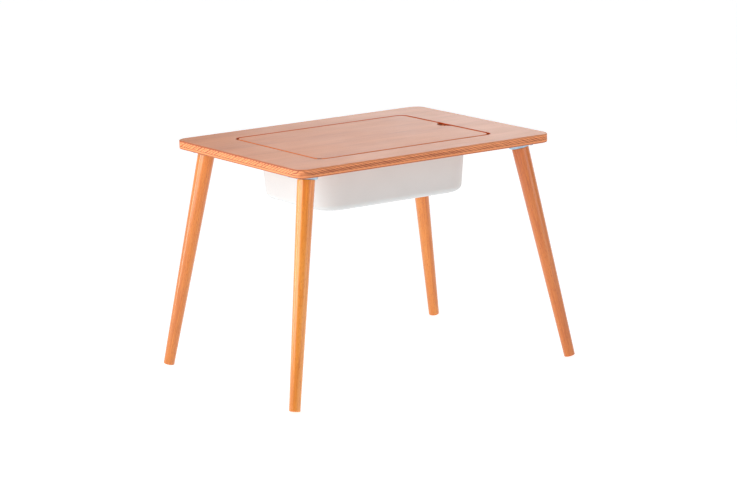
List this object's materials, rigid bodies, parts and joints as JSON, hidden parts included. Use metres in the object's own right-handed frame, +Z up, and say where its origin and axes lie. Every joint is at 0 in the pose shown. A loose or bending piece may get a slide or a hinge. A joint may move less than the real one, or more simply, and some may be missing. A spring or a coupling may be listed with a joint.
{
  "type": "children's storage table",
  "caption": "Low children's table with a flush lift-out lid over a hanging storage bin, on splayed tapered turned legs.",
  "frame": {"origin": "on the floor, under the middle of the top", "axes": "+X along the top's length towards the lid's finger notch, +Y along its width, +Z up"},
  "size_m": [0.7108, 0.5142, 0.48],
  "materials": {
    "top_plywood": "pinkish beech veneer, satin lacquer, plies showing at the edges",
    "lid_plywood": "pinkish beech veneer, satin lacquer, plies showing at the edges",
    "leg_beech": "turned beech, warm satin lacquer",
    "bin_plastic": "white moulded plastic, fine satin texture",
    "plate_zinc": "pressed sheet, pale bluish zinc plating",
    "fastener_zinc": "zinc plating"
  },
  "bodies": {
    "table": {"tabletop": "top_plywood", "leg_front_left": "leg_beech", "leg_front_right": "leg_beech", "leg_back_left": "leg_beech", "leg_back_right": "leg_beech", "leg_plate_front_left": "plate_zinc", "leg_plate_front_right": "plate_zinc", "leg_plate_back_left": "plate_zinc", "leg_plate_back_right": "plate_zinc", "plate_screws_front_left": "fastener_zinc", "plate_screws_front_right": "fastener_zinc", "plate_screws_back_left": "fastener_zinc", "plate_screws_back_right": "fastener_zinc", "hanger_bolt_front_left": "fastener_zinc", "hanger_bolt_front_right": "fastener_zinc", "hanger_bolt_back_left": "fastener_zinc", "hanger_bolt_back_right": "fastener_zinc", "plate_nut_front_left": "fastener_zinc", "plate_nut_front_right": "fastener_zinc", "plate_nut_back_left": "fastener_zinc", "plate_nut_back_right": "fastener_zinc"},
    "bin": {"storage_bin": "bin_plastic"},
    "lid": {"lid": "lid_plywood"}
  },
  "joints": [
    {"name": "bin_lift", "type": "slide", "parent": "table", "child": "bin", "axis": [0, 0, 1], "range_m": [0, 0.14]},
    {"name": "lid_lift", "type": "slide", "parent": "bin", "child": "lid", "axis": [0, 0, 1], "range_m": [0, 0.12]}
  ]
}
